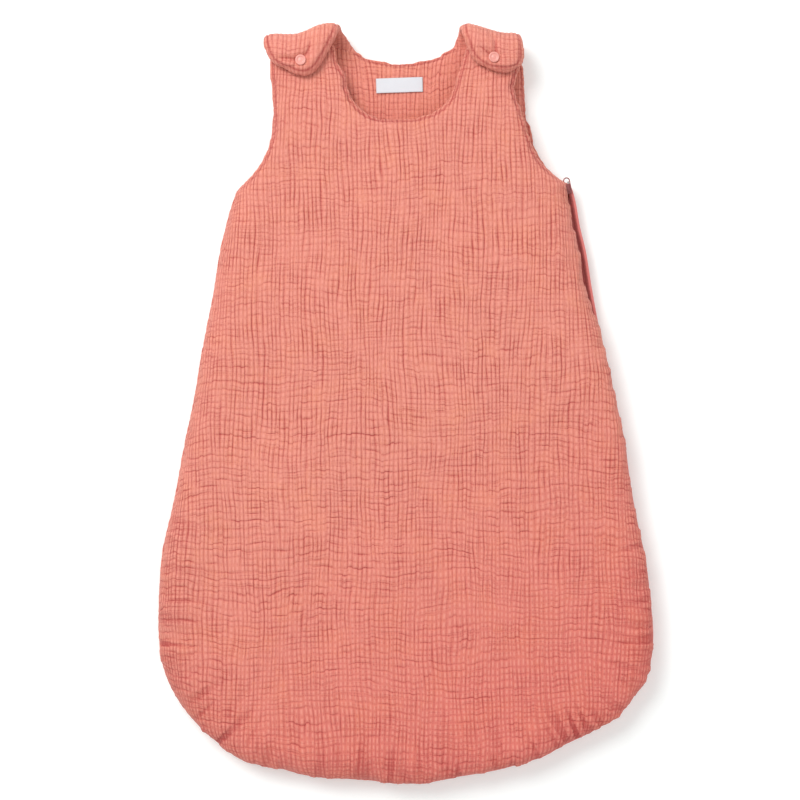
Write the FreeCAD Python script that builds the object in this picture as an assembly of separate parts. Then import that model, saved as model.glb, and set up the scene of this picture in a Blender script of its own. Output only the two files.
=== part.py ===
import FreeCAD, Part
import os

os.makedirs("parts", exist_ok=True)

# A sleeveless wadded baby sleeping bag lying on its back, in millimetres.
# X runs to the zip side, Y towards the head, Z up from the floor.
V = FreeCAD.Vector

# Heights of the layers.
SHELL = 1.2  # outer double gauze, with its skirt round each panel
LINING = 1.0  # inner double gauze
BACK_TOP = 13.0
FRONT_UNDER = 21.0
FRONT_TOP = 34.0
FOLD_TOP = 35.4  # where the back straps turn forward over the shoulders
FLAP_UNDER = 37.0
FLAP_TOP = 46.0

# The silhouette: two nearly straight sides, two large corners and a shallow pointed hem.
RIGHT_UNDERARM = V(151.5, 206)
RIGHT_SIDE_END = V(224, -176)
LEFT_UNDERARM = V(-153, 200)
LEFT_SIDE_END = V(-227, -190)
HEM_POINT = V(0, -349)
SHOULDER_Y = 349.0

# The line about which the zip side of the front folds back, from armhole to hem.
FOLD_HEAD = V(107, 280)
FOLD_GAP = 0.3

# The zip, measured inward from the back panel's edge.
CHAIN_INSET = 4.8
COIL_GAP = 1.6  # lets the slider's divider pass
COIL_WIDTH = 1.4
COIL_HEIGHT = 1.8
TAPE = 0.7
TAPE_Z = 15.0
BACK_TAPE_EDGE = 0.3
FRONT_TAPE_EDGE = 11.0
FRONT_EDGE_INSET = 9.4
ZIP_END_X = 18.0  # where the zip ends along the hem
SLIDER_DOWN = 8.0  # from the underarm to the slider's middle
SLIDER_LENGTH = 9.0
SLIDER_WIDTH = 6.8
SLIDER_PLATE = 1.1
SLIDER_FIT = 0.35
DIVIDER_WIDTH = 0.8
DIVIDER_LENGTH = 3.0
BRIDGE_LENGTH = 4.2
BRIDGE_WIDTH = 2.2
BRIDGE_HEIGHT = 3.2
PULL_WIRE = 1.1
PULL_WIDTH = 5.4  # between the wire's middles
PULL_LENGTH = 10.0
STOP_LENGTH = 2.2

# The shoulder snaps.
SNAP_LEFT = V(-96, 311)
SNAP_RIGHT = V(79, 313.5)
SNAP_CAP_RADIUS = 5.6
SNAP_CAP_HEIGHT = 1.2
SNAP_STEM_RADIUS = 1.2
SNAP_COLLAR_RADIUS = 3.2
SNAP_BORE_RADIUS = 2.5
SNAP_KNOB_RADIUS = 1.9
SNAP_FLANGE_RADIUS = 5.0
SNAP_FLANGE = 1.2
SNAP_KNOB_TOP = 38.6
SNAP_COLLAR_TOP = 39.2

# The woven labels.
LABEL_THICKNESS = 0.5
NECK_LABEL = (V(-28, 286.5), V(15, 300))
CARE_LABEL = (V(-188, -60), V(-160, -22))

REACH = 1200.0  # larger than the bag, for half planes and cutters


def outline(start, *moves):
    """A flat face bounded by straight moves (end,) and arcs (middle, end)."""
    edges = []
    at = start
    for move in moves:
        if len(move) == 1:
            edges.append(Part.makeLine(at, move[0]))
        else:
            edges.append(Part.Arc(at, move[0], move[1]).toShape())
        at = move[-1]
    if (at - start).Length > 0.01:
        edges.append(Part.makeLine(at, start))
    return Part.Face(Part.Wire(edges))


def slab(face, low, high):
    """The face raised between two heights."""
    raised = face.copy()
    raised.translate(V(0, 0, low))
    return raised.extrude(V(0, 0, high - low))


def inset(face, distance):
    return face.makeOffset2D(-distance, join=2)


def one(shape):
    """The shape without splits, as a bare solid where it is only one."""
    clean = shape.removeSplitter()
    return clean.Solids[0] if len(clean.Solids) == 1 else clean


def save(name, shape):
    shape.exportStep("parts/" + name + ".step")


def box_between(low, high, z_low, z_high):
    return Part.makeBox(high.x - low.x, high.y - low.y, z_high - z_low, V(low.x, low.y, z_low))


def disc(centre, radius, low, high):
    return Part.makeCylinder(radius, high - low, V(centre.x, centre.y, low))


def half_plane(at, along, side, gap):
    """A large face on one side (+1 right, -1 left) of a line, kept a gap away from it."""
    across = V(along.y, -along.x).normalize() * side
    base = at + across * gap
    ends = (base - along * REACH, base + along * REACH)
    return outline(ends[0], (ends[1],), (ends[1] + across * REACH,), (ends[0] + across * REACH,))


# ---- Plan shapes --------------------------------------------------------------------------

side_along = (RIGHT_SIDE_END - RIGHT_UNDERARM).normalize()  # down the zip side
side_outward = V(-side_along.y, side_along.x)
left_along = (LEFT_UNDERARM - LEFT_SIDE_END).normalize()
fold_along = (FOLD_HEAD - HEM_POINT).normalize()
fold_outward = V(fold_along.y, -fold_along.x)
ABOVE = 220.0  # carries both sides on past the shoulders

silhouette = outline(
    RIGHT_UNDERARM - side_along * ABOVE,
    (RIGHT_SIDE_END,),
    (V(203, -279), V(117, -328)),
    (V(60, -342), HEM_POINT),
    (V(-62, -343), V(-118, -337)),
    (V(-204, -280), LEFT_SIDE_END),
    (LEFT_UNDERARM + left_along * ABOVE,),
)

# Straps, armholes and neckline, open below so that only the silhouette bounds the skirt.
back_top_shape = outline(
    V(REACH, -REACH),
    (V(REACH, RIGHT_UNDERARM.y),),
    (RIGHT_UNDERARM,),
    (V(117, 236), V(107, 290)),
    (V(106, SHOULDER_Y),),
    (V(48, SHOULDER_Y),),
    (V(42, 325),),
    (V(-5, 311), V(-50, 327)),
    (V(-62, SHOULDER_Y),),
    (V(-130, SHOULDER_Y),),
    (V(-120, 284),),
    (V(-127, 234), LEFT_UNDERARM),
    (V(-REACH, LEFT_UNDERARM.y),),
    (V(-REACH, -REACH),),
)
TAB_Y = 334.0  # the front's shoulder tabs end here, under the flaps
front_top_shape = outline(
    V(REACH, -REACH),
    (V(REACH, RIGHT_UNDERARM.y),),
    (RIGHT_UNDERARM,),
    (V(117, 236), V(107, 290)),
    (V(104, TAB_Y),),
    (V(58, TAB_Y),),
    (V(43, 290),),
    (V(-5, 259), V(-57, 293)),
    (V(-71, TAB_Y),),
    (V(-124, TAB_Y),),
    (V(-120, 284),),
    (V(-127, 234), LEFT_UNDERARM),
    (V(-REACH, LEFT_UNDERARM.y),),
    (V(-REACH, -REACH),),
)
zip_half = half_plane(HEM_POINT, fold_along, 1, 0)
sewn_half = half_plane(HEM_POINT, fold_along, -1, 0)

back_face = silhouette.common(back_top_shape).Faces[0]
bare_zip_edge = silhouette.cut(inset(silhouette, FRONT_EDGE_INSET)).common(zip_half)
front_face = silhouette.cut(bare_zip_edge).common(front_top_shape).Faces[0]
back_inner = inset(back_face, SHELL)
front_inner = inset(front_face, SHELL)


def band(shallow, deep):
    """The strip of the silhouette between two insets."""
    return inset(silhouette, shallow).cut(inset(silhouette, deep))


# ---- Back panel, with the turned-up shoulders ---------------------------------------------

FOLD_DEPTH = 12.0  # thickness of the turned-up strap at the shoulder
shoulder = outline(
    V(-REACH, SHOULDER_Y - FOLD_DEPTH),
    (V(REACH, SHOULDER_Y - FOLD_DEPTH),),
    (V(REACH, SHOULDER_Y),),
    (V(-REACH, SHOULDER_Y),),
)
lining_limit = V(-REACH, SHOULDER_Y - FOLD_DEPTH)
lining_strip = outline(
    lining_limit,
    (lining_limit + V(2 * REACH, 0),),
    (lining_limit + V(2 * REACH, LINING),),
    (lining_limit + V(0, LINING),),
)
inner_shoulder = back_inner.common(shoulder)
turned_lining = slab(inner_shoulder.common(lining_strip), BACK_TOP - LINING, FOLD_TOP)
turned_wadding = slab(inner_shoulder.cut(lining_strip), BACK_TOP - LINING, FOLD_TOP)
back_block = slab(back_face, 0, BACK_TOP).fuse(slab(back_face.common(shoulder), BACK_TOP, FOLD_TOP))
back_wadding = slab(back_inner, SHELL, BACK_TOP - LINING).fuse(turned_wadding)
back_lining = slab(back_inner, BACK_TOP - LINING, BACK_TOP).cut(turned_wadding).fuse(turned_lining)
save("back_outer", one(back_block.cut(slab(back_inner, SHELL, FOLD_TOP))))
save("back_wadding", one(back_wadding))
save("back_lining", one(back_lining))

# ---- Front panel, in its sewn part and the part that folds back ---------------------------


def snap_hole(centre):
    return disc(centre, SNAP_STEM_RADIUS, FRONT_UNDER, FRONT_TOP)


snap_holes = snap_hole(SNAP_LEFT).fuse(snap_hole(SNAP_RIGHT))
front_layers = {
    "outer": slab(front_face, FRONT_UNDER, FRONT_TOP).cut(
        slab(front_inner, FRONT_UNDER, FRONT_TOP - SHELL)
    ),
    "wadding": slab(front_inner, FRONT_UNDER + LINING, FRONT_TOP - SHELL),
    "lining": slab(front_inner, FRONT_UNDER, FRONT_UNDER + LINING),
}
for part_name, side in (("sewn", -1), ("fold", 1)):
    kept = half_plane(HEM_POINT, fold_along, side, FOLD_GAP / 2)
    kept_block = slab(kept, FRONT_UNDER, FRONT_TOP)
    for layer, solid in front_layers.items():
        save("front_" + layer + "_" + part_name, one(solid.cut(snap_holes).common(kept_block)))

# ---- Seam that closes the left side and the left half of the hem --------------------------

SEAM_WIDTH = 4.0
seam_top = outline(
    V(-REACH, -REACH), (V(0, -REACH),), (V(0, LEFT_UNDERARM.y),), (V(-REACH, LEFT_UNDERARM.y),)
)
seam_face = silhouette.cut(inset(silhouette, SEAM_WIDTH)).common(seam_top).common(sewn_half)
save("left_side_seam", one(slab(seam_face, BACK_TOP, FRONT_UNDER)))

# ---- Shoulder flaps -----------------------------------------------------------------------

FLAP_EDGE = SHOULDER_Y - 0.3
left_flap_face = outline(
    V(-130, FLAP_EDGE),
    (V(-63, FLAP_EDGE),),
    (V(-75, 323), V(-86, 304)),
    (V(-102, 297), V(-119, 307)),
    (V(-126, 322), V(-130, 338)),
)
right_flap_face = outline(
    V(49, FLAP_EDGE),
    (V(106, FLAP_EDGE),),
    (V(108, 328),),
    (V(104, 311), V(94, 304)),
    (V(78, 304), V(64, 312)),
    (V(55, 327), V(49, 342)),
)


def save_flap(side, face, snap):
    inner = inset(face, SHELL)
    hole = disc(snap, SNAP_COLLAR_RADIUS, FLAP_UNDER, SNAP_COLLAR_TOP + SNAP_FLANGE)
    stem_hole = disc(snap, SNAP_STEM_RADIUS, FLAP_UNDER, FLAP_TOP)
    snap_room = hole.fuse(stem_hole)
    outer = slab(face, FLAP_UNDER, FLAP_TOP).cut(slab(inner, FLAP_UNDER, FLAP_TOP - SHELL))
    wadding = slab(inner, FLAP_UNDER + LINING, FLAP_TOP - SHELL)
    lining = slab(inner, FLAP_UNDER, FLAP_UNDER + LINING)
    save(side + "_flap_outer", one(outer.cut(snap_room)))
    save(side + "_flap_wadding", one(wadding.cut(snap_room)))
    save(side + "_flap_lining", one(lining.cut(snap_room)))


save_flap("left", left_flap_face, SNAP_LEFT)
save_flap("right", right_flap_face, SNAP_RIGHT)

# ---- Snaps: cap and socket on each flap, stud and post on each front tab ------------------


def snap_cap(centre):
    dome = disc(centre, SNAP_CAP_RADIUS, FLAP_TOP, FLAP_TOP + SNAP_CAP_HEIGHT)
    dish = disc(centre, SNAP_CAP_RADIUS - 1.8, FLAP_TOP + SNAP_CAP_HEIGHT / 2, FLAP_TOP + SNAP_CAP_HEIGHT)
    stem = disc(centre, SNAP_STEM_RADIUS, SNAP_COLLAR_TOP + SNAP_FLANGE, FLAP_TOP)
    return one(dome.cut(dish).fuse(stem))


def snap_socket(centre):
    flange = disc(centre, SNAP_FLANGE_RADIUS, FLAP_UNDER - SNAP_FLANGE, FLAP_UNDER)
    collar = disc(centre, SNAP_COLLAR_RADIUS, FLAP_UNDER, SNAP_COLLAR_TOP + SNAP_FLANGE)
    bore = disc(centre, SNAP_BORE_RADIUS, FLAP_UNDER - SNAP_FLANGE, SNAP_COLLAR_TOP)
    return one(flange.fuse(collar).cut(bore))


def snap_stud(centre):
    flange = disc(centre, SNAP_FLANGE_RADIUS, FRONT_TOP, FRONT_TOP + SNAP_FLANGE)
    knob = disc(centre, SNAP_KNOB_RADIUS, FRONT_TOP + SNAP_FLANGE, SNAP_KNOB_TOP)
    return one(flange.fuse(knob))


def snap_post(centre):
    plate = disc(centre, SNAP_CAP_RADIUS, FRONT_UNDER - SNAP_CAP_HEIGHT, FRONT_UNDER)
    stem = disc(centre, SNAP_STEM_RADIUS, FRONT_UNDER, FRONT_TOP)
    return one(plate.fuse(stem))


for side, centre in (("left", SNAP_LEFT), ("right", SNAP_RIGHT)):
    save("snap_cap_" + side, snap_cap(centre))
    save("snap_socket_" + side, snap_socket(centre))
save("snap_studs", Part.makeCompound([snap_stud(SNAP_LEFT), snap_stud(SNAP_RIGHT)]))
save("snap_posts", Part.makeCompound([snap_post(SNAP_LEFT), snap_post(SNAP_RIGHT)]))

# ---- Zip ----------------------------------------------------------------------------------

slider_middle = RIGHT_UNDERARM + side_along * SLIDER_DOWN - side_outward * CHAIN_INSET
chain_top = slider_middle + side_along * (SLIDER_LENGTH / 2 + 1.0)
coil_z = TAPE_Z + TAPE
zip_floor = outline(V(ZIP_END_X, -REACH), (V(REACH, -REACH),), (V(REACH, REACH),), (V(ZIP_END_X, REACH),))
down = V(side_outward.x, side_outward.y)
below_slider = half_plane(chain_top, down, 1, 0).common(zip_floor)
below_underarm = half_plane(RIGHT_UNDERARM + side_along * 1.0, down, 1, 0).common(zip_floor)

coil_half_gap = COIL_GAP / 2
back_coil = band(CHAIN_INSET - coil_half_gap - COIL_WIDTH, CHAIN_INSET - coil_half_gap)
front_coil = band(CHAIN_INSET + coil_half_gap, CHAIN_INSET + coil_half_gap + COIL_WIDTH)
back_tape = band(BACK_TAPE_EDGE, CHAIN_INSET - coil_half_gap)
back_tape_leg = band(BACK_TAPE_EDGE, BACK_TAPE_EDGE + TAPE)
front_tape = band(CHAIN_INSET + coil_half_gap, FRONT_TAPE_EDGE)
front_tape_leg = band(FRONT_TAPE_EDGE - TAPE, FRONT_TAPE_EDGE)

save("zip_coil_back", one(slab(back_coil.common(below_slider), coil_z, coil_z + COIL_HEIGHT)))
save("zip_coil_front", one(slab(front_coil.common(below_slider), coil_z, coil_z + COIL_HEIGHT)))
back_tape_flat = slab(back_tape.common(below_underarm), TAPE_Z, coil_z)
back_tape_foot = slab(back_tape_leg.common(below_underarm), BACK_TOP, TAPE_Z)
save("zip_tape_back", one(back_tape_flat.fuse(back_tape_foot)))
front_tape_flat = slab(front_tape.common(below_slider), TAPE_Z, coil_z)
front_tape_rise = slab(front_tape_leg.common(below_slider), coil_z, FRONT_UNDER)
save("zip_tape_front", one(front_tape_flat.fuse(front_tape_rise)))


def along_zip(length, width, low, high, at):
    """A block along the side, centred on a point of the chain line."""
    corner = at - side_along * (length / 2) - side_outward * (width / 2)
    ends = (corner, corner + side_along * length)
    across = side_outward * width
    return slab(outline(ends[0], (ends[1],), (ends[1] + across,), (ends[0] + across,)), low, high)


under_plate_top = TAPE_Z - SLIDER_FIT
over_plate_low = coil_z + COIL_HEIGHT + SLIDER_FIT
over_plate_top = over_plate_low + SLIDER_PLATE
divider_at = slider_middle - side_along * ((SLIDER_LENGTH - DIVIDER_LENGTH) / 2)
pull_z = over_plate_top + BRIDGE_HEIGHT / 2
plates = along_zip(
    SLIDER_LENGTH, SLIDER_WIDTH, under_plate_top - SLIDER_PLATE, under_plate_top, slider_middle
).fuse(along_zip(SLIDER_LENGTH, SLIDER_WIDTH, over_plate_low, over_plate_top, slider_middle))
divider = along_zip(DIVIDER_LENGTH, DIVIDER_WIDTH, under_plate_top, over_plate_low, divider_at)
bridge = along_zip(
    BRIDGE_LENGTH, BRIDGE_WIDTH, over_plate_top, over_plate_top + BRIDGE_HEIGHT, slider_middle
)
bridge_bore = Part.makeCylinder(
    PULL_WIRE / 2 + SLIDER_FIT,
    BRIDGE_WIDTH * 2,
    slider_middle - side_outward * BRIDGE_WIDTH + V(0, 0, pull_z),
    side_outward,
)
save("zip_slider", one(plates.fuse(divider).fuse(bridge).cut(bridge_bore)))

# The wire loop lies flat towards the armhole, its end bar in the slider's bridge.
headward = side_along * -1
pull_base = slider_middle + V(0, 0, pull_z)
half_loop = side_outward * (PULL_WIDTH / 2)
bend = PULL_WIDTH / 2
shank = headward * (PULL_LENGTH - bend)
loop_wire = Part.Wire(
    [
        Part.makeLine(pull_base, pull_base + half_loop),
        Part.makeLine(pull_base + half_loop, pull_base + half_loop + shank),
        Part.Arc(
            pull_base + half_loop + shank,
            pull_base + headward * PULL_LENGTH,
            pull_base - half_loop + shank,
        ).toShape(),
        Part.makeLine(pull_base - half_loop + shank, pull_base - half_loop),
        Part.makeLine(pull_base - half_loop, pull_base),
    ]
)
loop_section = Part.Wire(Part.makeCircle(PULL_WIRE / 2, pull_base, side_outward))
save("zip_pull", one(loop_wire.makePipeShell([loop_section], True, False, 1)))

top_stop_at = slider_middle - side_along * (SLIDER_LENGTH / 2 + STOP_LENGTH / 2 + 0.1)
top_stop_at = top_stop_at + side_outward * (coil_half_gap + COIL_WIDTH / 2)
save("zip_top_stop", along_zip(STOP_LENGTH, COIL_WIDTH, coil_z, coil_z + COIL_HEIGHT, top_stop_at))
bottom_stop = band(
    CHAIN_INSET - coil_half_gap - COIL_WIDTH, CHAIN_INSET + coil_half_gap + COIL_WIDTH
).common(
    outline(
        V(ZIP_END_X - STOP_LENGTH - 0.4, -REACH),
        (V(ZIP_END_X - 0.4, -REACH),),
        (V(ZIP_END_X - 0.4, 0),),
        (V(ZIP_END_X - STOP_LENGTH - 0.4, 0),),
    )
)
save("zip_bottom_stop", one(slab(bottom_stop, BACK_TOP, coil_z + COIL_HEIGHT)))

# ---- Labels on the back lining ------------------------------------------------------------

for name, (low, high) in (("neck_label", NECK_LABEL), ("care_label", CARE_LABEL)):
    save(name, box_between(low, high, BACK_TOP, BACK_TOP + LABEL_THICKNESS))
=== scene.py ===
import math
import bmesh
import bpy
import numpy as np
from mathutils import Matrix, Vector
from mathutils.geometry import delaunay_2d_cdt
from mathutils.kdtree import KDTree


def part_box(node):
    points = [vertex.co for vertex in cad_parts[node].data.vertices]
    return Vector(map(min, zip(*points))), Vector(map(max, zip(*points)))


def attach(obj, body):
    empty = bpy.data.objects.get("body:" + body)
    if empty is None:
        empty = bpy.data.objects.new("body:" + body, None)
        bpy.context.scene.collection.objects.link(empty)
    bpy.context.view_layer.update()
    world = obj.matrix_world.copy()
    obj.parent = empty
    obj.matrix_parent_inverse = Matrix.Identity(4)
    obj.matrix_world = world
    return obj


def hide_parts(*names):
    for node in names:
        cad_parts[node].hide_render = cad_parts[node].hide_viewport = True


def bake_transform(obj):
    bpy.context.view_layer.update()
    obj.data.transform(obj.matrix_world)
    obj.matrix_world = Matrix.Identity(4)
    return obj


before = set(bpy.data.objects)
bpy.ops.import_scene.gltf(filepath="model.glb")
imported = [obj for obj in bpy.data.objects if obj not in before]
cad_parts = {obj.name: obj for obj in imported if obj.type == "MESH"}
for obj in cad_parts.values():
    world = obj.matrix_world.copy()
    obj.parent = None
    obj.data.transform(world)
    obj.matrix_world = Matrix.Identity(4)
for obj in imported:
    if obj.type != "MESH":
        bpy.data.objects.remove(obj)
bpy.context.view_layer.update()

MM = 0.001
NODE_BOX = {n: np.array(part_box(n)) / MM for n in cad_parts}


def middle_of(node):
    return NODE_BOX[node].mean(0)


# ---- Numbers that make cloth look like cloth ----------------------------------------------

def noise(x, y, seed=0):
    """Smooth gradient noise in the plane, about -0.7 to 0.7."""
    xi, yi = np.floor(x).astype(np.int64), np.floor(y).astype(np.int64)
    xf, yf = x - xi, y - yi

    def corner(dx, dy):
        h = (xi + dx) * 374761393 + (yi + dy) * 668265263 + seed * 1442695041
        h = (h ^ (h >> 13)) * 1274126177
        angle = ((h ^ (h >> 16)) & 1023) * (2 * math.pi / 1024)
        return np.cos(angle) * (xf - dx) + np.sin(angle) * (yf - dy)

    u, v = xf**3 * (xf * (xf * 6 - 15) + 10), yf**3 * (yf * (yf * 6 - 15) + 10)
    low = corner(0, 0) * (1 - u) + corner(1, 0) * u
    high = corner(0, 1) * (1 - u) + corner(1, 1) * u
    return low * (1 - v) + high * v


def step(value, start, end):
    t = np.clip((value - start) / (end - start), 0, 1)
    return t * t * (3 - 2 * t)


RIB, ROW = 4.1, 6.0  # mm between the gauze's ribs and between its rows


def crinkle(x, y, seed=0, grid=None):
    """Crinkled double gauze at flat points in mm: height, warped weave coordinates, rib and row depths."""
    xw = (x + 6 * noise(x / 70, y / 130, seed + 1) + 2.4 * noise(x / 17, y / 60, seed + 2)
          + 0.9 * noise(x / 7, y / 20, seed + 3))
    yw = (y + 12 * noise(x / 95, y / 80, seed + 4) + 3.4 * noise(x / 40, y / 22, seed + 5)
          + 1.3 * noise(x / 13, y / 9, seed + 6))
    xw = xw + 0.9 * noise(x / 5, y / 40, seed + 12)
    yw = yw + 2.6 * noise(np.floor(xw / RIB) * 0.61 + 0.3, y / 30, seed + 13)
    share = 0.5 if grid is None else grid
    share = np.clip(share + 0.6 * noise(x / 60, y / 45, seed + 7), 0.05, 1)
    calm = 1 - 0.34 * step(0.45 * x - 0.9 * y, 20, 300) + 0.5 * noise(x / 48, y / 40, seed + 14)
    deep_v = np.clip(0.68 + 0.9 * noise(x / 9, y / 20, seed + 8), 0.12, 1.1) * (1.05 - 0.30 * share) * calm
    deep_h = np.clip(0.46 + 1.3 * noise(x / 12, y / 8, seed + 9), 0.0, 1.1) * (0.35 + 0.65 * share) * calm
    ribs = np.abs(np.sin(math.pi * xw / RIB))
    rows = np.abs(np.sin(math.pi * yw / ROW))
    height = deep_v * (ribs**0.7 - 0.7) + deep_h * (rows**0.6 - 0.75) + 0.35 * noise(x / 5, y / 6, seed + 10)
    return height * 1.25, np.stack([xw, yw], 1), np.stack([deep_v, deep_h], 1)


def spline(points, spacing):
    """A closed smooth loop through the points, evenly spaced."""
    p = np.array(points, float)
    n = len(p)
    dense = []
    for i in range(n):
        a, b, c, d = p[i - 1], p[i], p[(i + 1) % n], p[(i + 2) % n]
        reach = np.linalg.norm(c - b)
        ma = (c - a) / max(np.linalg.norm(c - a), 1e-9) * reach
        mb = (d - b) / max(np.linalg.norm(d - b), 1e-9) * reach
        t = np.linspace(0, 1, 24, endpoint=False)[:, None]
        dense.append((2*t**3 - 3*t**2 + 1) * b + (t**3 - 2*t**2 + t) * ma
                     + (-2*t**3 + 3*t**2) * c + (t**3 - t**2) * mb)
    q = np.vstack(dense)
    closed = np.vstack([q, q[:1]])
    run = np.concatenate([[0], np.cumsum(np.linalg.norm(np.diff(closed, axis=0), axis=1))])
    at = np.linspace(0, run[-1], int(run[-1] / spacing), endpoint=False)
    return np.stack([np.interp(at, run, closed[:, k]) for k in (0, 1)], 1)


class Rim:
    """A closed rim, for looking up its nearest point, the way out and the run along it."""

    def __init__(self, loop):
        self.tree = KDTree(len(loop))
        for i, p in enumerate(loop):
            self.tree.insert((p[0], p[1], 0), i)
        self.tree.balance()
        ahead, behind = np.roll(loop, -1, 0), np.roll(loop, 1, 0)
        tangent = ahead - behind
        tangent /= np.linalg.norm(tangent, axis=1)[:, None]
        area = np.sum(loop[:, 0] * ahead[:, 1] - ahead[:, 0] * loop[:, 1]) / 2
        self.out = np.stack([tangent[:, 1], -tangent[:, 0]], 1) * np.sign(area)
        self.along = np.concatenate([[0], np.cumsum(np.linalg.norm(np.diff(loop, axis=0), axis=1))])

    def near(self, xy):
        found = [self.tree.find((p[0], p[1], 0)) for p in xy]
        i = np.array([f[1] for f in found])
        return i, np.array([f[2] for f in found])


def smooth_round(values, passes):
    for _ in range(passes):
        values = (np.roll(values, 1) + 2 * values + np.roll(values, -1)) / 4
    return values


def plan_mesh(loop, spacing):
    """Points filling the loop, its own first, and their quads and triangles."""
    n = len(loop)
    low, high = loop.min(0), loop.max(0)
    gx, gy = np.meshgrid(np.arange(low[0], high[0], spacing), np.arange(low[1], high[1], spacing))
    grid = np.stack([gx.ravel(), gy.ravel()], 1)
    inside = np.zeros(len(grid), bool)
    a, b = loop, np.roll(loop, -1, 0)
    for (x0, y0), (x1, y1) in zip(a, b):
        if y0 != y1:
            crosses = (grid[:, 1] > min(y0, y1)) & (grid[:, 1] <= max(y0, y1))
            xs = x0 + (grid[:, 1] - y0) * (x1 - x0) / (y1 - y0)
            inside ^= crosses & (grid[:, 0] < xs)
    grid = grid[inside]
    _, gap = Rim(loop).near(grid)
    grid = grid[gap > spacing * 0.55]
    points = [Vector(p) for p in np.vstack([loop, grid])]
    got = delaunay_2d_cdt(points, [], [list(range(n))], 1, 1e-5)
    order = [o[0] for o in got[3]]
    bm = bmesh.new()
    for v in got[0]:
        bm.verts.new((v.x, v.y, 0))
    bm.verts.ensure_lookup_table()
    for f in got[2]:
        bm.faces.new([bm.verts[i] for i in f])
    bmesh.ops.recalc_face_normals(bm, faces=bm.faces)
    bmesh.ops.join_triangles(bm, faces=bm.faces, angle_face_threshold=1.0, angle_shape_threshold=0.9)
    xy = np.vstack([loop, grid])
    faces = [[order[v.index] for v in f.verts] for f in bm.faces]
    if sum(f.normal.z for f in bm.faces) < 0:
        faces = [f[::-1] for f in faces]
    bm.free()
    return xy, faces


def make_object(name, points, faces, flat=None, side=None):
    mesh = bpy.data.meshes.new(name)
    mesh.from_pydata((np.asarray(points) * MM).tolist(), [], faces)
    obj = bpy.data.objects.new(name, mesh)
    bpy.context.scene.collection.objects.link(obj)
    if side is not None:
        mesh.attributes.new("side", "FLOAT", "POINT").data.foreach_set("value", np.asarray(side, np.float32))
    if flat is not None:
        mesh.attributes.new("flat", "FLOAT_VECTOR", "POINT").data.foreach_set(
            "vector", np.column_stack([flat, np.zeros(len(flat))]).astype(np.float32).ravel())
    for p in mesh.polygons:
        p.use_smooth = True
    return obj


def points_of(obj):
    out = np.empty(len(obj.data.vertices) * 3, np.float32)
    obj.data.vertices.foreach_get("co", out)
    return out.reshape(-1, 3).astype(float) / MM


def set_points(obj, points):
    obj.data.vertices.foreach_set("co", (points * MM).astype(np.float32).ravel())
    obj.data.update()


def normals_of(obj):
    out = np.empty(len(obj.data.vertices) * 3, np.float32)
    obj.data.vertex_normals.foreach_get("vector", out)
    return out.reshape(-1, 3).astype(float)


def floats_of(obj, name):
    out = np.empty(len(obj.data.vertices), np.float32)
    obj.data.attributes[name].data.foreach_get("value", out)
    return out.astype(float)


def set_vectors(obj, name, values):
    attribute = obj.data.attributes.get(name) or obj.data.attributes.new(name, "FLOAT_VECTOR", "POINT")
    attribute.data.foreach_set("vector", np.asarray(values, np.float32).ravel())


def apply_modifiers(obj):
    graph = bpy.context.evaluated_depsgraph_get()
    mesh = bpy.data.meshes.new_from_object(obj.evaluated_get(graph), depsgraph=graph)
    obj.modifiers.clear()
    old, obj.data = obj.data, mesh
    bpy.data.meshes.remove(old)
    return obj


def subdivide(obj, levels):
    modifier = obj.modifiers.new("smooth", "SUBSURF")
    modifier.levels = modifier.render_levels = levels
    return apply_modifiers(obj)


SIM_SCALE = 10.0  # cloth is simulated ten times as large, which suits the solver
SETTLING_FRAMES = 26


def settle(points, faces, pinned, form_points, form_faces, loose, frames):
    """Where a sheet rests on a padded form, its rim pinned, the cloth oversize by loose at each point."""
    cloth = make_object("settling_sheet", points * SIM_SCALE, faces)
    form = make_object("settling_form", form_points * SIM_SCALE, form_faces)
    pin = cloth.vertex_groups.new(name="pin")
    pin.add([int(i) for i in np.flatnonzero(pinned)], 1.0, "REPLACE")
    ease = cloth.vertex_groups.new(name="ease")
    for i, w in enumerate(loose / loose.max()):
        ease.add([i], float(w), "REPLACE")
    modifier = cloth.modifiers.new("cloth", "CLOTH")
    settings = modifier.settings
    settings.quality = 5
    settings.mass = 0.12
    settings.tension_stiffness = settings.compression_stiffness = 12.0
    settings.shear_stiffness = 3.0
    settings.bending_stiffness = 0.06
    settings.vertex_group_mass = "pin"
    settings.vertex_group_shrink = "ease"
    settings.shrink_min = 0.0
    settings.shrink_max = -float(loose.max())
    settings.air_damping = 2.0
    modifier.collision_settings.distance_min = 0.008
    modifier.collision_settings.use_self_collision = False
    form.modifiers.new("collision", "COLLISION")
    form.collision.thickness_outer = 0.006
    form.collision.cloth_friction = 12.0
    modifier.point_cache.frame_end = frames
    scene = bpy.context.scene
    for f in range(1, frames + 1):
        scene.frame_set(f)
    graph = bpy.context.evaluated_depsgraph_get()
    seen = cloth.evaluated_get(graph).to_mesh()
    out = np.empty(len(seen.vertices) * 3, np.float32)
    seen.vertices.foreach_get("co", out)
    result = out.reshape(-1, 3).astype(float) / MM / SIM_SCALE
    scene.frame_set(1)
    for obj in (cloth, form):
        bpy.data.objects.remove(obj)
    return result


# ---- Materials ----------------------------------------------------------------------------

def srgb(r, g, b):
    """Linear colour from display values of 0 to 255."""
    def linear(c):
        return (c / 255) / 12.92 if c <= 10.3 else ((c / 255 + 0.055) / 1.055) ** 2.4
    return linear(r), linear(g), linear(b), 1


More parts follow.
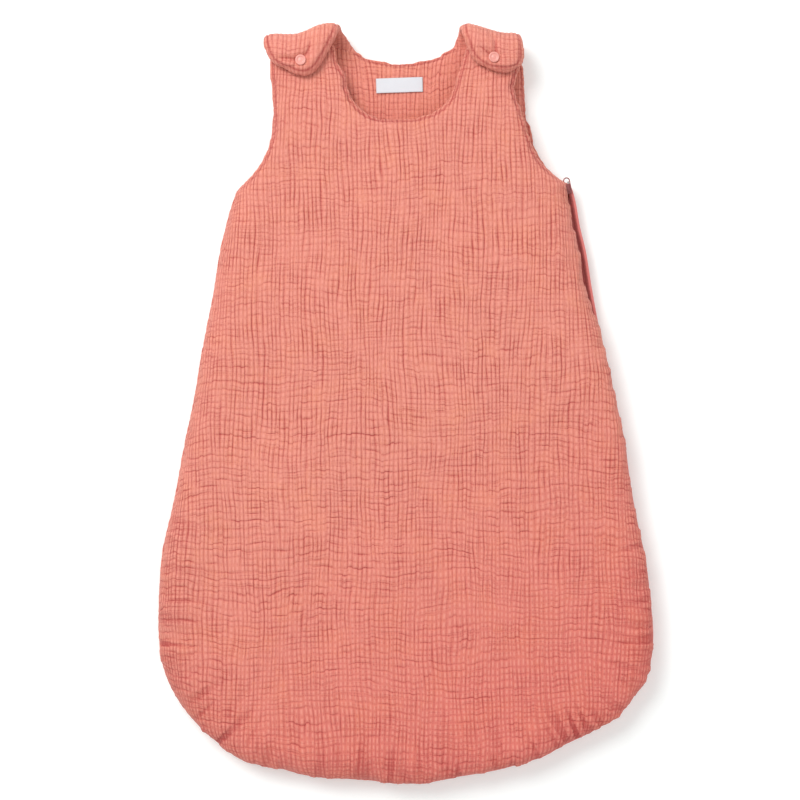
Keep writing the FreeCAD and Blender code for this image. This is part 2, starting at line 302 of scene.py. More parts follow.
class Shader:
    """A Principled material, with short names for the nodes that the looks below need."""

    def __init__(self, name):
        self.material = bpy.data.materials.new(name)
        self.material.use_nodes = True
        self.tree = self.material.node_tree
        self.main = self.tree.nodes["Principled BSDF"]

    def fill(self, socket, value):
        """Links another node's output to the socket, or sets the socket to a plain value."""
        if isinstance(value, bpy.types.NodeSocket):
            self.tree.links.new(value, socket)
        else:
            socket.default_value = value

    def node(self, kind, inputs=None, **settings):
        made = self.tree.nodes.new(kind)
        for key, value in settings.items():
            setattr(made, key, value)
        for key, value in (inputs or {}).items():
            self.fill(made.inputs[key], value)
        return made

    def set(self, key, value):
        self.fill(self.main.inputs[key], value)

    def position(self):
        return self.node("ShaderNodeTexCoord").outputs["Object"]

    def noise(self, where, scale, detail=2.0, rough=0.5):
        return self.node("ShaderNodeTexNoise", {"Vector": where, "Scale": scale, "Detail": detail,
                                                "Roughness": rough}).outputs["Fac"]

    def stretch(self, where, scale):
        return self.node("ShaderNodeMapping", {"Vector": where, "Scale": scale}).outputs["Vector"]

    def ramp(self, value, low, high, out_low=0.0, out_high=1.0):
        return self.node("ShaderNodeMapRange", {"Value": value, "From Min": low, "From Max": high,
                                                "To Min": out_low, "To Max": out_high}).outputs["Result"]

    def blend(self, share, a, b, how="MIX"):
        made = self.tree.nodes.new("ShaderNodeMix")
        made.data_type, made.blend_type = "RGBA", how
        for i, value in ((0, share), (6, a), (7, b)):
            self.fill(made.inputs[i], value)
        return made.outputs[2]

    def math(self, how, a, b):
        return self.node("ShaderNodeMath", {0: a, 1: b}, operation=how).outputs[0]

    def bump(self, height, strength, distance):
        return self.node("ShaderNodeBump", {"Height": height, "Strength": strength,
                                            "Distance": distance}).outputs["Normal"]

    def attribute(self, name):
        return self.node("ShaderNodeAttribute", attribute_name=name).outputs["Vector"]

    def parts(self, vector):
        return self.node("ShaderNodeSeparateXYZ", {0: vector}).outputs


def gauze(name, lit, light, furrow_shade_colour, tint, furrow_shade_peak=0.84):
    """Crinkled gauze, with painted shade in the furrows that the mesh's warped and depths attributes give,
    painted highlights on the rib crests and painted shade towards the lower right.
    """
    s = Shader(name)
    where = s.attribute("flat")
    across, along, _ = s.parts(s.attribute("warped"))
    rib_depth, row_depth, painted_shade = s.parts(s.attribute("depths"))

    def wave(value, pitch):
        return s.math("ABSOLUTE", s.math("SINE", s.math("MULTIPLY", value, math.pi / pitch), 0.0), 0.0)

    ribs, rows = wave(across, RIB), wave(along, ROW)
    finer = wave(across, RIB * 0.68)
    finer_rows = wave(along, ROW * 0.62)
    patch = s.ramp(s.noise(where, 0.05, 2.0), 0.35, 0.6)
    # painted shade in the furrows: rib, row and finer lines, darker where the relief is deeper
    line_v = s.math("MULTIPLY", s.ramp(ribs, 0.0, 0.62, 1.0, 0.0), rib_depth)
    line_h = s.math("MULTIPLY", s.ramp(rows, 0.0, 0.42, 1.0, 0.0), row_depth)
    thin = s.math("MULTIPLY", s.math("MULTIPLY", s.ramp(finer, 0.0, 0.6, 1.0, 0.0), patch), 0.45)
    rough = s.ramp(s.noise(where, 0.04, 2.0), 0.4, 0.62)
    thin_rows = s.math("MULTIPLY", s.math("MULTIPLY", s.ramp(finer_rows, 0.0, 0.5, 1.0, 0.0), rough), 0.42)
    thin = s.math("ADD", thin, thin_rows)
    furrow = s.math("ADD", s.math("ADD", line_v, line_h), s.math("ADD", thin, painted_shade))
    crest_highlight = s.math("MULTIPLY", s.ramp(ribs, 0.72, 1.0), s.ramp(rows, 0.35, 0.9))
    cloud = s.ramp(s.noise(where, 0.012, 3.0), 0.3, 0.7)
    colour = s.blend(cloud, lit, tuple(0.95 * c for c in lit[:3]) + (1,))
    colour = s.blend(s.ramp(s.noise(where, 0.03, 3.0), 0.46, 0.68, 0.0, 0.18), colour, tint)
    threads = s.noise(s.stretch(where, (1.6, 0.10, 1)), 1.0, 2.0)
    colour = s.blend(s.ramp(threads, 0.52, 0.75, 0.0, 0.35), colour, tint)
    wefts = s.noise(s.stretch(where, (0.10, 1.5, 1)), 1.0, 2.0)
    colour = s.blend(s.ramp(wefts, 0.55, 0.8, 0.0, 0.22), colour, tint)
    x, y, _ = s.parts(where)
    # painted shade: the colour grows darker and deeper towards the lower right, where less light falls
    low = s.math("SUBTRACT", s.math("MULTIPLY", x, 0.45), s.math("MULTIPLY", y, 0.9))
    colour = s.blend(s.ramp(low, 30.0, 290.0), colour, (0.99, 0.75, 0.79, 1), "MULTIPLY")
    # painted highlight: the rib crests are blended towards the lighter highlight colour
    colour = s.blend(s.math("MULTIPLY", crest_highlight, 0.55), colour, light)
    fine = s.noise(where, 0.9, 3.0, 0.6)
    furrow = s.math("ADD", furrow, s.ramp(fine, 0.35, 0.65, -0.16, 0.16))
    # painted shade: the furrows are blended towards the dark shade colour
    colour = s.blend(s.ramp(furrow, 0.08, 1.1, 0.0, furrow_shade_peak), colour, furrow_shade_colour)
    relief = s.math("ADD", s.math("MULTIPLY", furrow, -1.0), s.math("MULTIPLY", fine, 0.5))
    s.set("Base Color", colour)
    s.set("Roughness", 0.88)
    s.set("Specular IOR Level", 0.2)
    s.set("Sheen Weight", 0.12)
    s.set("Sheen Roughness", 0.5)
    s.set("Sheen Tint", (1.0, 0.85, 0.8, 1))
    s.set("Normal", s.bump(relief, 0.5, 0.0007))
    return s.material


def plain(name, colour, roughness, metallic=0.0, grain=0.0, size=900.0):
    """One colour, a little uneven, with a fine grain where asked."""
    s = Shader(name)
    where = s.position()
    patch = s.ramp(s.noise(where, size / 6, 2.0), 0.3, 0.7)
    s.set("Base Color", s.blend(patch, colour, tuple(0.86 * c for c in colour[:3]) + (1,)))
    s.set("Roughness", roughness)
    s.set("Metallic", metallic)
    if grain:
        s.set("Normal", s.bump(s.noise(where, size, 2.0), grain, 0.0003))
    return s.material


def woven(name, colour, dark, pitch):
    """Flat tape of the given thread pitch in mm."""
    s = Shader(name)
    where = s.position()
    thread = {"Vector": where, "Scale": 1000 / pitch / 6.283, "Distortion": 0.4}
    warp = s.node("ShaderNodeTexWave", thread, bands_direction="X").outputs["Fac"]
    weft = s.node("ShaderNodeTexWave", thread, bands_direction="Y").outputs["Fac"]
    weave = s.math("MULTIPLY", warp, weft)
    s.set("Base Color", s.blend(s.ramp(weave, 0.0, 0.6), dark, colour))
    s.set("Roughness", 0.7)
    s.set("Sheen Weight", 0.15)
    s.set("Normal", s.bump(weave, 0.4, 0.0003))
    return s.material


# CORAL_HIGHLIGHT is the painted highlight colour on the gauze's rib crests
CORAL, CORAL_HIGHLIGHT = srgb(221, 138, 123), srgb(238, 160, 144)
# CORAL_FURROW_SHADE is the painted shade colour in the gauze's furrows
CORAL_FURROW_SHADE, CORAL_TINT = srgb(170, 64, 62), srgb(230, 148, 106)
OUTER = gauze("outer_gauze", CORAL, CORAL_HIGHLIGHT, CORAL_FURROW_SHADE, CORAL_TINT)
# lining: a painted highlight colour, a painted furrow shade colour and a stronger share of furrow shade
LINING = gauze("lining_gauze", srgb(224, 138, 122), srgb(238, 158, 142), srgb(166, 66, 62), CORAL_TINT, 0.9)
TAPE = woven("zip_tape", srgb(240, 146, 140), srgb(222, 116, 110), 0.6)
COIL = plain("zip_coil", srgb(196, 98, 94), 0.45, grain=0.2)
SNAP = plain("snap_plastic", srgb(234, 158, 146), 0.38, grain=0.15, size=700)
METAL = plain("zip_metal", srgb(164, 98, 98), 0.36, metallic=0.6)
STEEL = plain("stop_metal", srgb(205, 200, 196), 0.3, metallic=0.9)
SATIN = woven("label_satin", srgb(232, 235, 239), srgb(206, 208, 214), 0.45)


def dress(obj, *materials):
    obj.data.materials.clear()
    for m in materials:
        obj.data.materials.append(m)


# ---- Padded panels ------------------------------------------------------------------------

def roll(d, radius):
    """From 0 at the rim to 1 at the radius inside it, as a quarter circle."""
    t = np.clip(1 - d / radius, 0, 1)
    return np.sqrt(np.maximum(1 - t * t, 0))


def panel(name, loop, fine, coarse, rim, top, under, levels, seed, soften=None, grid=None, amount=1.0,
          stitched=None, gathered=None, detail=None):
    """A closed padded panel. top and under give heights; soften may settle the top sheet.

    stitched and gathered are shares round the rim, and detail gives more relief and painted crease shade at a
    point."""
    n = len(loop)
    top_xy, top_faces = plan_mesh(loop, fine)
    low_xy, low_faces = plan_mesh(loop, coarse)
    ti, td = rim.near(top_xy)
    td[:n] = 0
    li, ld = rim.near(low_xy)
    ld[:n] = 0
    top_points = np.column_stack([top_xy, top(top_xy, td, ti)])
    low_points = np.column_stack([low_xy, under(low_xy, ld, li)])
    if soften:
        top_points = soften(top_points, top_faces, td, ti)
    shift = len(top_xy) - n
    faces = top_faces + [[(v if v < n else v + shift) for v in f][::-1] for f in low_faces]
    points = np.vstack([top_points, low_points[n:]])
    side = np.concatenate([np.where(np.arange(len(top_xy)) < n, 0.5, 1.0), np.zeros(len(low_xy) - n)])
    obj = make_object(name, points, faces, flat=points[:, :2], side=side)
    subdivide(obj, levels)
    p, side = points_of(obj), floats_of(obj, "side")
    i, d = rim.near(p[:, :2])
    drop = np.maximum(p[:, 2].max() - p[:, 2], 0) * (side > 0.4) * np.exp(-d / 14)
    flat = p[:, :2] + rim.out[i] * drop[:, None]
    upper = step(side, 0.3, 0.6)
    share = grid(flat) if grid else None
    h, warped, depths = crinkle(flat[:, 0], flat[:, 1], seed, share)
    bumps = h * amount * (0.6 + 0.4 * upper) * (1 - 0.6 * np.exp(-(d / 3.5) ** 2))
    depths = depths * (0.3 + 0.7 * amount)
    # painted shade for hollows, which the gauze reads as more furrow shade
    painted_shade = np.zeros(len(p))
    if gathered is not None:
        along = rim.along[i]
        pleats = noise(along / 3.6, d / 70, seed + 51) + 0.5 * noise(along / 2.2, d / 40, seed + 52)
        pull = gathered[i] * np.exp(-(d / 30) ** 1.5) * (1 - np.exp(-((d + 2) / 4) ** 2)) * upper
        bumps = bumps + 1.8 * pull * pleats
        # painted shade in the pleats' valleys and a little over the whole gathered hem
        painted_shade = painted_shade + 1.9 * pull * np.clip(-pleats, 0, 1) + 0.2 * pull
    if stitched is not None:
        line = np.exp(-((d - 4.6) / 1.15) ** 2) * upper * stitched[i]
        bumps = bumps * (1 - 0.5 * stitched[i] * np.exp(-(d / 5) ** 2)) - 0.9 * line
        # painted shade along the stitched groove
        painted_shade = painted_shade + 0.75 * line
    if detail:
        # painted shade along crease lines that the detail gives
        more, crease_shade = detail(p[:, :2], d)
        bumps, painted_shade = bumps + more * upper, painted_shade + crease_shade * upper
    set_points(obj, p + normals_of(obj) * bumps[:, None])
    set_vectors(obj, "flat", np.column_stack([flat, np.zeros(len(flat))]))
    set_vectors(obj, "warped", np.column_stack([warped, np.zeros(len(flat))]))
    set_vectors(obj, "depths", np.column_stack([depths, painted_shade]))
    dress(obj, OUTER, LINING)
    return obj


def paint_side(obj, top_slot, low_slot, limit=0.45):
    """Gives faces of the upper and lower sheet their material slots."""
    side = floats_of(obj, "side")
    starts = np.empty(len(obj.data.polygons), np.int32)
    obj.data.polygons.foreach_get("loop_start", starts)
    corner = np.empty(len(obj.data.loops), np.int32)
    obj.data.loops.foreach_get("vertex_index", corner)
    slots = np.where(side[corner[starts]] > limit, top_slot, low_slot).astype(np.int32)
    obj.data.polygons.foreach_set("material_index", slots)
    obj.data.update()


FRONT_POINTS = [
    (-1, -349), (-34, -346), (-66, -344), (-92, -341.5), (-117, -335), (-149, -328), (-175, -310),
    (-195, -290), (-211, -270), (-222, -246), (-227, -217), (-227, -182), (-224, -138), (-213, -89),
    (-205, -45), (-195, 3), (-187, 50), (-178, 95), (-169, 148), (-155, 195), (-144, 206), (-131, 224),
    (-124, 243), (-122.5, 262), (-123.5, 286), (-125, 310), (-122, 330), (-112, 336), (-76, 335),
    (-66, 326), (-63, 313), (-55.5, 299), (-52, 284), (-45, 272), (-31, 262.5), (-8, 260.5),
    (14, 262.5), (33, 271.5), (42, 286), (48, 305), (56, 328), (66, 335), (94, 335), (102, 328),
    (103.5, 306), (98.5, 288), (104, 271), (109.5, 253), (115, 236), (123, 221), (135, 209.5),
    (145.5, 200.5), (148.5, 186), (153.5, 160), (159.5, 134), (163.5, 108), (170.5, 87), (177.5, 68),
    (184, 40), (192, 5), (200, -34), (205, -70), (211.5, -107), (219.5, -144), (224, -181),
    (226.5, -217), (222, -243), (210, -267), (196, -283), (174, -299), (149, -311.5), (115, -327),
    (86, -336), (56, -341.5), (26, -346)]
SEWN_TOP, ZIP_TOP = 203, 208  # mm, the underarms, below which the left and right edges are shut
PROUD = 1.2  # mm that the wadded edges stand out beyond the cut outline
UNDER_BODY, UNDER_ZIP, UNDER_TABS = 15.6, 23.6, 20.8  # mm, levels of the front's lower sheet


def ruffled(loop):
    """The rim, gathered into shallow scallops at the hem and along the neckline's left side."""
    rim = Rim(loop)
    hem = step(-loop[:, 1], 120, 250)
    neck = step(loop[:, 1], 262, 280) * step(-loop[:, 0], 4, 30) * step(loop[:, 0], -84, -68)
    still = rim.along * 0
    wave = 2.8 * hem * noise(rim.along / 19, still + 0.4, 61) + 0.6 * hem * noise(rim.along / 9, still, 62)
    wave += 1.3 * neck * noise(rim.along / 9, still + 0.7, 63)
    return loop + rim.out * (wave + PROUD)[:, None]


def build_front():
    loop = ruffled(spline(FRONT_POINTS, 5.0))
    x, y = loop[:, 0], loop[:, 1]
    zip_side = ((x > 0) & (y < ZIP_TOP)).astype(float)
    sewn = ((x <= 0) & (y < SEWN_TOP)).astype(float)
    upper = 1 - zip_side - sewn
    height = smooth_round(16.5 * sewn + 24.0 * zip_side + 27.0 * upper, 24)
    radius = smooth_round(26.0 * sewn + 20.0 * zip_side + 8.0 * upper, 16)
    rim = Rim(loop)

    def puff(xy):
        px, py = xy[:, 0], xy[:, 1]
        tabs = step(py, 262, 312)
        belly = 36.5 + 2.0 * np.exp(-((py + 90) / 170) ** 2)
        lumps = 1.5 * noise(px / 75, py / 85, 11) + 0.9 * noise(px / 34, py / 38, 12)
        return (belly + lumps) * (1 - tabs) + 33.0 * tabs

    def top(xy, d, i):
        r = radius[i]
        along = rim.along[i]
        gathers = noise(along / 17, along * 0 + 3.3, 21) + 0.6 * noise(along / 8, d / 60, 22)
        at_hem = step(-xy[:, 1], 40, 230)
        strength = 2.5 * np.exp(-((d - 14) / 17) ** 2) * at_hem + 0.9 * np.exp(-((d - 10) / 12) ** 2)
        return height[i] + (puff(xy) - height[i]) * roll(d, r) + gathers * strength

    def under(xy, d, i):
        zip_near = zip_side[i] * (1 - step(d, 12, 34))
        body = UNDER_BODY + (height[i] - UNDER_BODY) * (1 - roll(d, np.minimum(radius[i], 10)))
        low = body * (1 - zip_near) + UNDER_ZIP * zip_near
        lifted = np.maximum(low, UNDER_TABS + (height[i] - UNDER_TABS) * (1 - roll(d, 6)))
        tabs = step(xy[:, 1], 225, 262)
        return low * (1 - tabs) + lifted * tabs

    def soften(points, faces, d, i):
        form = points.copy()
        form[:, 2] -= 1.0
        loose = 0.012 + 0.05 * np.exp(-d / 30) * step(-points[:, 1], -120, 150) + 0.012 * np.exp(-d / 18)
        return settle(points, faces, d < 0.01, form, faces, loose, SETTLING_FRAMES)

    def grid(flat):
        return 0.25 + 0.5 * step(-flat[:, 1], -180, 120)

    hem = step(-y, 60, 250) * (0.75 + 0.6 * noise(rim.along / 60, rim.along * 0 + 0.2, 71))
    gathered = smooth_round(np.clip(hem + 0.25 * (1 - upper), 0, 1.2), 4)
    obj = panel("front_panel", loop, 4.6, 10.0, rim, top, under, 2, 100, soften, grid,
                stitched=smooth_round(upper, 6), gathered=gathered)
    paint_side(obj, 0, 1)
    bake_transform(obj)
    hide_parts("front_outer_sewn", "front_wadding_sewn", "front_lining_sewn",
                "front_outer_fold", "front_wadding_fold", "front_lining_fold")
    return obj


BACK_POINTS = [
    (-1, -350), (-34, -347), (-66, -345), (-92, -342.5), (-117, -336), (-150, -329), (-176, -310.5),
    (-197, -290.5), (-212, -270), (-223, -246), (-228, -217), (-228, -182), (-225, -138), (-214, -89),
    (-206, -45), (-196, 3), (-188, 50), (-179, 95), (-170, 148), (-156, 196), (-146, 207), (-133, 226),
    (-126, 245), (-124, 264), (-124.5, 286), (-126, 310), (-123, 326), (-110, 331), (-74, 333),
    (-62, 332), (-51, 329), (-38, 320.5), (-22, 316), (-6, 315), (12, 316.5), (29, 321.5), (40, 328.5),
    (54, 333), (94, 331), (103, 326), (109, 306), (110, 288), (112, 271), (116, 253), (120, 236),
    (127, 222.5), (138, 211.5), (149.5, 203.5), (155, 190), (160, 163), (165.5, 140), (171, 106),
    (176.5, 76), (184, 40), (192.5, 5), (201, -34), (206, -70), (212.5, -107), (220.5, -144),
    (225, -181), (227.5, -217), (223, -244), (211, -268), (197, -284), (175, -300), (150, -312.5),
    (116, -328), (87, -337), (57, -342.5), (27, -347)]

BACK_FLOOR = 0.9  # mm, so that the relief below it stays above the ground


def build_back():
    loop = spline(BACK_POINTS, 6.0)
    loop = loop + Rim(loop).out * PROUD
    x, y = loop[:, 0], loop[:, 1]
    sewn = smooth_round(((x <= 0) & (y < SEWN_TOP)).astype(float), 20)
    height = 7.5 + 8.5 * sewn
    rim = Rim(loop)

    def top(xy, d, i):
        lumps = 0.6 * noise(xy[:, 0] / 50, xy[:, 1] / 60, 31) + 0.8 * step(xy[:, 1], 262, 285)
        level = 12.6 + lumps
        return height[i] + (level - height[i]) * roll(d, 7)

    def under(xy, d, i):
        return BACK_FLOOR + (height[i] - BACK_FLOOR) * (1 - roll(d, 9 + 6 * sewn[i]))

    edge = smooth_round((y > 210).astype(float), 6)
    obj = panel("back_panel", loop, 6.0, 11.0, rim, top, under, 2, 300, amount=0.8, stitched=edge)
    dress(obj, LINING, OUTER)
    paint_side(obj, 0, 1, 0.55)
    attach(obj, "back")
    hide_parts("back_outer", "back_wadding", "back_lining")
    return obj


# ---- Shoulder straps, folded forward as flaps ---------------------------------------------

FOLD_Y, FOLD_Z, FOLD_R = 326.0, 24.5, 17.2  # mm, the fold's axis and a strap's radius about it
FOLD_START = 26.0  # mm of flat strap before the fold


def strap_path(s):
    """Middle surface of a strap at arc length s: y, z and the outward normal."""
    bend = math.pi * FOLD_R
    a = np.clip((s - FOLD_START) / FOLD_R, 0, math.pi)
    y = np.where(s < FOLD_START, FOLD_Y - FOLD_START + s, FOLD_Y + FOLD_R * np.sin(a))
    y = np.where(s > FOLD_START + bend, FOLD_Y - (s - FOLD_START - bend), y)
    z = FOLD_Z - FOLD_R * np.cos(a)
    return y, z, np.sin(a), -np.cos(a)


def strap_sag(lower, x, s):
    """How far a flap's outer side hangs towards the hem, most in the middle of its length."""
    return lower(x) * np.sin(np.clip((s - 20) / 80, 0, 1) * math.pi) ** 0.7


def snap_on_strap(side, lower):
    """Where the CAD's snap lies on a flat strap: across, and arc length."""
    x, y, _ = middle_of("snap_cap_" + side)
    s = level = FOLD_START + math.pi * FOLD_R + FOLD_Y - y
    for _ in range(8):
        s = level - strap_sag(lower, x, s)
    return x, s


def build_strap(side, points, lower, creases, seed):
    """A padded strap, flat in (across, arc length), then bent round the shoulder.

    lower(x) is how far the flap sags there, and creases are rays from the snap: direction and reach."""
    snap = snap_on_strap(side, lower)
    loop = spline(points, 2.6)
    rim = Rim(loop)
    thick = 5.0

    def top(xy, d, i):
        dist = np.hypot(xy[:, 0] - snap[0], xy[:, 1] - snap[1])
        puff = thick * roll(d, 6.5) + 0.5 * noise(xy[:, 0] / 14, xy[:, 1] / 14, seed)
        angle = np.arctan2(xy[:, 1] - snap[1], xy[:, 0] - snap[0])
        puckers = 0.8 * np.cos(7 * angle + 1.3 * np.sin(2 * angle + seed)) * np.exp(-((dist - 9) / 6) ** 2)
        return puff - 3.0 * np.exp(-(dist / 6.8) ** 2) + puckers - 2.2 * valley(xy, 3.2)

    def valley(xy, width):
        total = np.zeros(len(xy))
        for cx, cy, reach in creases:
            away = (xy[:, 0] - snap[0]) * cx + (xy[:, 1] - snap[1]) * cy
            off = (xy[:, 0] - snap[0]) * cy - (xy[:, 1] - snap[1]) * cx
            off = off + 1.2 * np.sin(away / 6)
            total += np.exp(-(off / width) ** 2) * step(away, 1, 6) * (1 - step(away, 0.6 * reach, reach))
        return total

    def creased(xy, d):
        line = valley(xy, 1.1)
        # painted shade along the crease valleys
        return -0.9 * line, 0.55 * line

    def under(xy, d, i):
        return -thick * 0.8 * roll(d, 6.0)

    def bend(obj):
        p = points_of(obj)
        i, d = rim.near(p[:, :2])
        p[:, 2] -= 3.6 * step(p[:, 1], 62, 84) * np.exp(-(d / 6) ** 2)
        y, z, ny, nz = strap_path(p[:, 1])
        sag = strap_sag(lower, p[:, 0], p[:, 1])
        across = p[:, 0]
        set_points(obj, np.column_stack([across, y + ny * p[:, 2] - sag, z + nz * p[:, 2]]))

    past_fold = step(loop[:, 1], 38, 52)
    obj = panel(side + "_strap", loop, 2.6, 4.0, rim, top, under, 2, seed, amount=0.55,
                stitched=past_fold, detail=creased)
    bend(obj)
    dress(obj, OUTER, LINING)
    paint_side(obj, 0, 1, 0.2)
    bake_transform(obj)
    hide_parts(side + "_flap_outer", side + "_flap_wadding", side + "_flap_lining")
    return obj


LEFT_STRAP = [
    (-122, 2), (-124, 20), (-127, 40), (-131, 56), (-131, 68), (-128, 80), (-123, 91), (-113, 101),
    (-101, 108), (-91, 109), (-82, 104), (-75, 94), (-68, 82), (-62, 69), (-60, 56), (-57, 42),
    (-47, 27), (-38, 14), (-36, 3), (-60, 0), (-96, 0)]
RIGHT_STRAP = [
    (103, 2), (104, 20), (105, 40), (106, 60), (107.5, 78), (107, 90), (103, 99), (95, 105), (86, 106),
    (75, 103), (66, 98), (59, 92), (54, 82), (50, 70), (48.5, 56), (46, 38), (41, 26), (32, 13),
    (29, 3), (50, 0), (84, 0)]


# ---- Zip ----------------------------------------------------------------------------------

COIL_STEP, COIL_PITCH, COIL_WIRE = 0.13, 1.3, 0.26  # mm between points and turns, and the wire's radius
COIL_LEVEL, COIL_HALF_WIDTH, COIL_HALF_HEIGHT = 16.95, 1.15, 0.42  # mm
COIL_END = 20  # points left off at the hem
SEAM_STEP, SEAM_LEVEL, SEAM_RADIUS = 1.6, 16.2, 2.1  # mm


def ring_faces(rings, sides):
    """Quads between successive rings of the given number of points."""
    starts = [(i * sides, (i + 1) * sides) for i in range(rings - 1)]
    return [[a + k, a + (k + 1) % sides, b + (k + 1) % sides, b + k] for a, b in starts for k in range(sides)]


def tube(name, path, radius, sides):
    """A round thread along points in mm."""
    p = np.asarray(path, float)
    n = len(p)
    ahead = np.vstack([p[1:], 2 * p[-1:] - p[-2:-1]])
    behind = np.vstack([2 * p[:1] - p[1:2], p[:-1]])
    t = ahead - behind
    t /= np.linalg.norm(t, axis=1)[:, None]
    up = np.where(np.abs(t[:, 2:3]) > 0.9, [[1.0, 0, 0]], [[0, 0, 1.0]])
    a = np.cross(t, up)
    a /= np.linalg.norm(a, axis=1)[:, None]
    b = np.cross(t, a)
    turn = np.linspace(0, 2 * math.pi, sides, endpoint=False)
    ring = p[:, None] + radius * (a[:, None] * np.cos(turn)[None, :, None]
                                  + b[:, None] * np.sin(turn)[None, :, None])
    faces = ring_faces(n, sides)
    faces += [list(range(sides)), [(n - 1) * sides + k for k in range(sides)][::-1]]
    return make_object(name, ring.reshape(-1, 3), faces)


def edge_line(spacing, start, end):
    """Points along the back panel's rim between two of its places, and the way inward at each."""
    loop = spline(BACK_POINTS, 1.0)
    rim = Rim(loop)
    i = [rim.tree.find((*place, 0))[1] for place in (start, end)]
    order = np.arange(min(i), max(i) + 1)
    if i[0] > i[1]:
        order = order[::-1]
    run = rim.along[order]
    at = np.linspace(run[0], run[-1], int(abs(run[-1] - run[0]) / spacing))
    keep = np.argsort(run)
    line = np.stack([np.interp(at, run[keep], loop[order][keep, k]) for k in (0, 1)], 1)
    inward = np.stack([np.interp(at, run[keep], -rim.out[order][keep, k]) for k in (0, 1)], 1)
    return line, inward / np.linalg.norm(inward, axis=1)[:, None]


def zip_line(spacing):
    """From the right underarm round the corner to the hem."""
    return edge_line(spacing, (150.5, 204.0), (18.0, -348.6))


def build_side_seam():
    """The sewn edge from the left underarm to the middle of the hem, a ridge that closes the two panels."""
    line, inward = edge_line(SEAM_STEP, (-156.0, 196.0), (-4.0, -349.8))
    run = np.arange(len(line)) * SEAM_STEP
    pucker = noise(run / 4.5, run * 0 + 0.3, 81)
    level = SEAM_LEVEL + 0.5 * noise(run / 7, run * 0, 82)
    path = np.column_stack([line + inward * (SEAM_RADIUS + 0.5 * pucker)[:, None], level])
    seam = tube("side_seam", path, SEAM_RADIUS, 12)
    p = points_of(seam)
    h, warped, depths = crinkle(p[:, 0] * 1.4, p[:, 1] * 1.4, 700)
    set_points(seam, p + normals_of(seam) * (0.35 * h)[:, None])
    set_vectors(seam, "flat", np.column_stack([p[:, :2], np.zeros(len(p))]))
    set_vectors(seam, "warped", np.column_stack([warped, np.zeros(len(p))]))
    # the whole seam is made a little darker through the gauze's furrow shade
    set_vectors(seam, "depths", np.column_stack([depths, np.full(len(p), 0.12)]))
    dress(seam, OUTER)
    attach(seam, "back")
    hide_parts("left_side_seam")


def ribbon(name, line, inward, profile):
    """A closed strip along the line; profile lists (inset, height) round its section."""
    n, m = len(line), len(profile)
    points = np.array([[*(line[j] + inward[j] * a), z] for j in range(n) for a, z in profile])
    faces = ring_faces(n, m)
    faces += [list(range(m))[::-1], [(n - 1) * m + k for k in range(m)]]
    return make_object(name, points, faces)


def coil(name, inset, hand, start):
    """A nylon coil: a flattened spiral along the tape's edge, from the line's point numbered start."""
    line, inward = zip_line(COIL_STEP)
    turn = np.arange(len(line)) * COIL_STEP / COIL_PITCH * 2 * math.pi
    a = inset + COIL_HALF_WIDTH * np.cos(turn) * hand
    z = COIL_LEVEL + COIL_HALF_HEIGHT * np.sin(turn)
    path = np.column_stack([line + inward * a[:, None], z])
    return tube(name, path[start:-COIL_END], COIL_WIRE, 5)


def build_zip():
    line, inward = zip_line(3.0)
    back_profile = [(0.3, 8), (0.3, 16.0), (0.8, 16.5), (4.2, 16.5), (4.2, 16.0), (1.1, 15.9), (0.8, 8)]
    front_profile = [(5.4, 16.0), (5.4, 16.5), (10.8, 16.5), (11.5, 17.0), (11.5, 25), (12.1, 25),
                     (12.1, 16.6), (11.3, 16.0)]
    back_tape = ribbon("back_tape", line, inward, back_profile)
    front_tape = ribbon("front_tape", line[5:], inward[5:], front_profile)
    made = [(back_tape, "back", "zip_tape_back", TAPE, "zip_tape"),
            (front_tape, "front_fold", "zip_tape_front", TAPE, "zip_tape"),
            (coil("back_coil", 3.9, -1, 60), "back", "zip_coil_back", COIL, "zip_coil"),
            (coil("front_coil", 5.9, 1, 110), "front_fold", "zip_coil_front", COIL, "zip_coil")]
    for obj, body, node, material, slot in made:
        dress(obj, material)
        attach(obj, body)
        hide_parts(node)


def lathe(name, profile, centre, sides=48):
    """A round piece from (radius, height) pairs, its axis upright."""
    profile = np.array(profile, float)
    turn = np.linspace(0, 2 * math.pi, sides, endpoint=False)
    ring = np.array([[(r * math.cos(t), r * math.sin(t), z) for t in turn] for r, z in profile])
    ring = ring.reshape(-1, 3)
    faces = ring_faces(len(profile), sides)
    faces += [list(range(sides))[::-1], [(len(profile) - 1) * sides + k for k in range(sides)]]
    return make_object(name, ring + np.array(centre), faces)


def build_snap_caps():
    for side in ("left", "right"):
        node = "snap_cap_" + side
        centre = middle_of(node)
        top = NODE_BOX[node][1, 2]
        r = 0.86 * (NODE_BOX[node][1, 0] - NODE_BOX[node][0, 0]) / 2
        profile = [(1.1, -6.0), (1.1, -1.4), (r - 0.6, -1.3), (r, -0.8), (r, -0.35), (r - 0.35, -0.02),
                   (r - 0.9, 0.12), (r - 1.5, -0.05), (r - 1.9, -0.5), (r - 2.4, -0.62), (1.6, -0.55),
                   (1.2, -0.35), (0.5, -0.3)]
        cap = lathe("snap_ring_" + side, profile, (centre[0], centre[1], top))
        dress(cap, SNAP)
        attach(cap, side + "_flap")
        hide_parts(node)


LABEL_LEVEL = 15.2  # mm


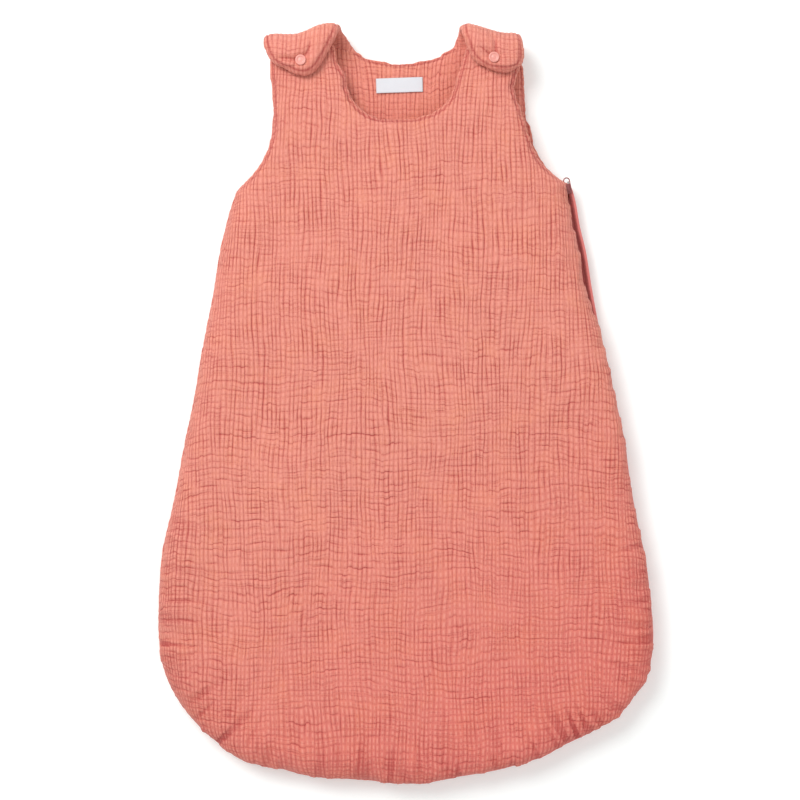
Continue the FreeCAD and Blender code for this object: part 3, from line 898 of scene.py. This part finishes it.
def build_labels():
    for node, seed, tilt in (("neck_label", 5, 0.035), ("care_label", 9, 0.1)):
        low, high = NODE_BOX[node]
        w, h = high[0] - low[0], high[1] - low[1]
        nx, ny = 44, 18
        u, v = np.meshgrid(np.linspace(-w / 2, w / 2, nx), np.linspace(-h / 2, h / 2, ny))
        u, v = u.ravel(), v.ravel()
        x = middle_of(node)[0] + u * math.cos(tilt) - v * math.sin(tilt)
        y = middle_of(node)[1] + u * math.sin(tilt) + v * math.cos(tilt)
        z = LABEL_LEVEL + 0.35 * noise(u / 9, v / 9, seed) - 0.5 * (np.abs(u) / (w / 2)) ** 6
        faces = [[j * nx + i, j * nx + i + 1, (j + 1) * nx + i + 1, (j + 1) * nx + i]
                 for j in range(ny - 1) for i in range(nx - 1)]
        label = make_object("woven_" + node, np.column_stack([x, y, z]), faces)
        solid = label.modifiers.new("thickness", "SOLIDIFY")
        solid.thickness = 0.4 * MM
        solid.offset = -1
        apply_modifiers(label)
        dress(label, SATIN)
        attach(label, "back")
        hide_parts(node)


def show_cad():
    """CAD nodes that stay shown take procedural materials."""
    looks = {"zip_slider": METAL, "zip_pull": METAL, "zip_top_stop": STEEL, "zip_bottom_stop": STEEL,
             "snap_studs": SNAP, "snap_posts": SNAP, "snap_socket_left": SNAP, "snap_socket_right": SNAP}
    for node, material in looks.items():
        dress(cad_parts[node], material)


# ---- Room, light and camera ---------------------------------------------------------------

def build_room():
    mesh = bpy.data.meshes.new("floor")
    s, level = 30.0, -0.0006  # m, half the floor's width, and just below the ground plane
    corners = [(-s, -s), (s, -s), (s, s), (-s, s)]
    mesh.from_pydata([(*corner, level) for corner in corners], [], [[0, 1, 2, 3]])
    floor = bpy.data.objects.new("floor", mesh)
    bpy.context.scene.collection.objects.link(floor)
    white = Shader("floor_white")
    white.set("Base Color", (0.925, 0.96, 0.95, 1))
    white.set("Roughness", 1.0)
    white.set("Specular IOR Level", 0.0)
    white.set("Emission Color", (0.94, 1, 0.99, 1))
    white.set("Emission Strength", 0.13)
    dress(floor, white.material)

    def lamp(name, energy, size, place, colour=(1, 1, 1)):
        data = bpy.data.lights.new(name, "AREA")
        data.energy, data.size, data.color = energy, size, colour
        obj = bpy.data.objects.new(name, data)
        obj.location = place
        obj.rotation_euler = (-Vector(place)).to_track_quat("-Z", "Y").to_euler()
        bpy.context.scene.collection.objects.link(obj)

    lamp("key", 43, 1.3, (-1.05, 1.2, 2.0))
    lamp("fill", 16, 3.0, (1.6, -0.6, 2.4))
    world = bpy.data.worlds.new("studio")
    world.use_nodes = True
    world.node_tree.nodes["Background"].inputs["Color"].default_value = (1, 1, 1, 1)
    world.node_tree.nodes["Background"].inputs["Strength"].default_value = 0.60
    bpy.context.scene.world = world
    data = bpy.data.cameras.new("camera")
    data.lens, data.sensor_width = 85, 36
    camera = bpy.data.objects.new("camera", data)
    camera.location = (-0.006, 0.0032, 1.755)
    bpy.context.scene.collection.objects.link(camera)
    bpy.context.scene.camera = camera
    bpy.context.scene.view_settings.view_transform = "Standard"


build_room()
build_back()
build_front()
build_strap("left", LEFT_STRAP, lambda x: 10 * (1 - step(x, -104, -72)),
            ((-0.98, -0.20, 24), (0.50, -0.86, 22)), 500)
build_strap("right", RIGHT_STRAP, lambda x: 9 * step(x, 52, 92),
            ((0.04, -1.0, 24), (-0.86, -0.50, 17)), 600)
build_side_seam()
build_zip()
build_snap_caps()
build_labels()
show_cad()
